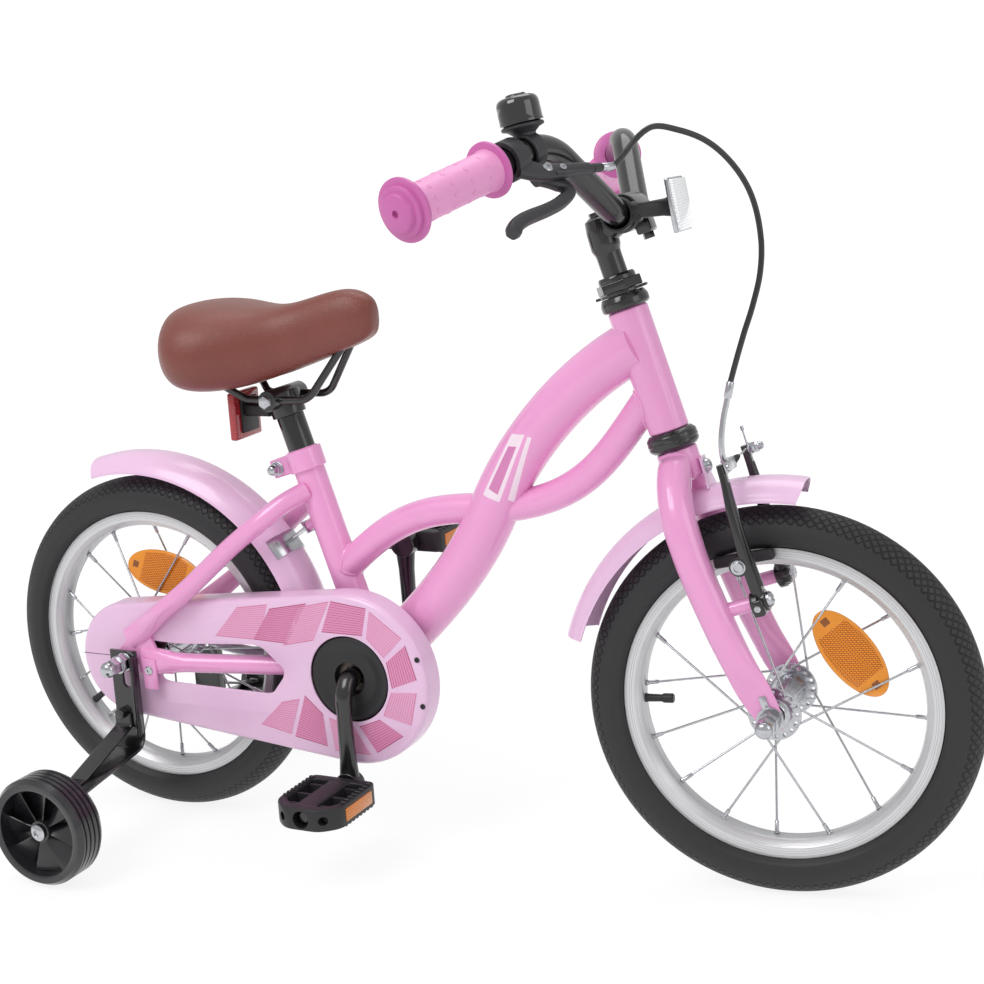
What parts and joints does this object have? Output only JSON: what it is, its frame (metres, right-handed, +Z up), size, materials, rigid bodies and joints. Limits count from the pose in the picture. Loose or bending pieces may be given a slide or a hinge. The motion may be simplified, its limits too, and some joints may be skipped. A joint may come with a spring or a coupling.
{
  "type": "kids bike",
  "caption": "Child's bicycle with stabilisers, mudguards, chain guard, hand brake, bell and a padded saddle on an adjustable post.",
  "frame": {"origin": "ground under the rear axle, on the bike's centre plane, where the rear tyre rests", "axes": "+X forward, +Y to the rider's left, +Z up; the handlebar is turned 7.24 degrees to the left at rest"},
  "size_m": [0.956, 0.5377, 0.673],
  "materials": {
    "pink_paint": "glossy candy pink enamel",
    "pale_pink_plastic": "glossy pale pink moulding",
    "black_paint": "semi-gloss black enamel",
    "bright_steel": "bright plated steel",
    "rim_silver": "satin silver",
    "tyre_black": "matt ribbed rubber",
    "grip_pink": "soft matt pink rubber",
    "black_plastic": "matt black moulding",
    "cable_black": "satin black outer casing",
    "amber_lens": "amber prism reflector",
    "red_lens": "red prism reflector",
    "clear_lens": "clear prism reflector",
    "bell_black": "polished black",
    "saddle_brown": "smooth red-brown leather-like cover",
    "chain_steel": "oiled brown steel"
  },
  "bodies": {
    "frame": {"main_frame": "pink_paint", "seat_clamp": "pink_paint", "headset_upper_cup": "black_paint", "headset_lower_cup": "black_paint", "bottom_bracket_cup_right": "bright_steel", "bottom_bracket_cup_left": "bright_steel", "chain_guard": "pale_pink_plastic", "chain": "chain_steel", "rear_mudguard": "pale_pink_plastic", "rear_mudguard_bracket": "bright_steel", "rear_axle": "bright_steel", "coaster_brake_arm": "bright_steel", "stabiliser_bracket_right": "black_paint", "stabiliser_bracket_left": "black_paint"},
    "steering": {"fork": "pink_paint", "headset_locknut": "black_paint", "stem": "black_paint", "handlebar": "black_paint", "grip_right": "grip_pink", "grip_left": "grip_pink", "bell_base": "black_plastic", "bell_dome": "bell_black", "brake_lever_body": "black_plastic", "front_reflector": "clear_lens", "front_reflector_bracket": "black_plastic", "front_mudguard": "pale_pink_plastic", "front_axle": "bright_steel", "brake_cable": "cable_black"},
    "seat": {"seat_post": "black_paint", "saddle_clamp": "black_paint", "saddle_base": "black_plastic", "saddle": "saddle_brown", "rear_reflector": "red_lens", "rear_reflector_bracket": "black_plastic"},
    "front_wheel": {"front_tyre": "tyre_black", "front_rim": "rim_silver", "front_hub": "bright_steel", "front_spoke_reflector": "amber_lens"},
    "rear_wheel": {"rear_tyre": "tyre_black", "rear_rim": "rim_silver", "rear_hub": "bright_steel", "rear_spoke_reflector": "amber_lens"},
    "rear_sprocket": {"rear_sprocket": "bright_steel"},
    "crank": {"crank": "black_paint", "chainring": "black_paint"},
    "pedal_right": {"pedal_right": "black_plastic"},
    "pedal_left": {"pedal_left": "black_plastic"},
    "stabiliser_wheel_right": {"stabiliser_wheel_right": "black_plastic"},
    "stabiliser_wheel_left": {"stabiliser_wheel_left": "black_plastic"},
    "brake_lever": {"brake_lever": "black_plastic"},
    "brake_arm_right": {"brake_arm_right": "black_paint", "brake_pad_right": "black_plastic", "brake_noodle": "bright_steel", "brake_boot": "black_plastic"},
    "brake_arm_left": {"brake_arm_left": "black_paint", "brake_pad_left": "black_plastic", "brake_inner_cable": "bright_steel"},
    "bell_striker": {"bell_striker": "black_plastic"}
  },
  "joints": [
    {"name": "steering_turn", "type": "hinge", "parent": "frame", "child": "steering", "pos_m": [0.53539, 0, 0.39256], "axis": [-0.3067, 0, 0.9518], "range_deg": [-67.2, 52.8]},
    {"name": "seat_height", "type": "slide", "parent": "frame", "child": "seat", "axis": [-0.3, 0, 0.9539], "range_m": [-0.025, 0.045]},
    {"name": "front_wheel_spin", "type": "hinge", "parent": "steering", "child": "front_wheel", "pos_m": [0.62518, 0.00202, 0.16566], "axis": [-0.12, 0.992, -0.0387], "continuous": true},
    {"name": "rear_wheel_spin", "type": "hinge", "parent": "frame", "child": "rear_wheel", "pos_m": [0, 0, 0.1657], "axis": [0, 1, 0], "continuous": true},
    {"name": "crank_spin", "type": "hinge", "parent": "frame", "child": "crank", "pos_m": [0.2385, 0, 0.166], "axis": [0, 1, 0], "continuous": true},
    {"name": "rear_sprocket_spin", "type": "hinge", "parent": "frame", "child": "rear_sprocket", "pos_m": [0, -0.0425, 0.1657], "axis": [0, 1, 0], "continuous": true},
    {"name": "pedal_right_spin", "type": "hinge", "parent": "crank", "child": "pedal_right", "pos_m": [0.2385, -0.112, 0.0705], "axis": [0, 1, 0], "continuous": true},
    {"name": "pedal_left_spin", "type": "hinge", "parent": "crank", "child": "pedal_left", "pos_m": [0.2385, 0.112, 0.2615], "axis": [0, 1, 0], "continuous": true},
    {"name": "stabiliser_wheel_right_spin", "type": "hinge", "parent": "frame", "child": "stabiliser_wheel_right", "pos_m": [0, -0.199, 0.0524], "axis": [0, 1, 0], "continuous": true},
    {"name": "stabiliser_wheel_left_spin", "type": "hinge", "parent": "frame", "child": "stabiliser_wheel_left", "pos_m": [0, 0.199, 0.0524], "axis": [0, 1, 0], "continuous": true},
    {"name": "brake_arm_left_swing", "type": "hinge", "parent": "steering", "child": "brake_arm_left", "pos_m": [0.60672, 0.05039, 0.25879], "axis": [0.9442, 0.126, 0.3042], "range_deg": [0, 2.6], "stiffness_Nm_per_rad": 1.5, "springref_deg": -11.46, "deforming": ["brake_inner_cable"]},
    {"name": "brake_arm_right_swing", "type": "hinge", "parent": "steering", "child": "brake_arm_right", "pos_m": [0.6179, -0.04207, 0.26239], "axis": [0.9442, 0.126, 0.3042], "range_deg": [-2.6, 0], "deforming": ["brake_cable"]},
    {"name": "brake_lever_pull", "type": "hinge", "parent": "steering", "child": "brake_lever", "pos_m": [0.49526, -0.1314, 0.61308], "axis": [0.6863, -0.3129, 0.6565], "range_deg": [-22, 0]},
    {"name": "bell_striker_flick", "type": "hinge", "parent": "steering", "child": "bell_striker", "pos_m": [0.47618, -0.115, 0.6518], "axis": [0.9928, 0.12, -0.0023], "range_deg": [-6, 0], "stiffness_Nm_per_rad": 0.05, "springref_deg": 5.73}
  ],
  "couplings": [
    {"joint": "rear_sprocket_spin", "follows": "crank_spin", "ratio": 1.75},
    {"joint": "brake_arm_right_swing", "follows": "brake_arm_left_swing", "ratio": -1},
    {"joint": "brake_lever_pull", "follows": "brake_arm_left_swing", "ratio": -8.4615}
  ]
}
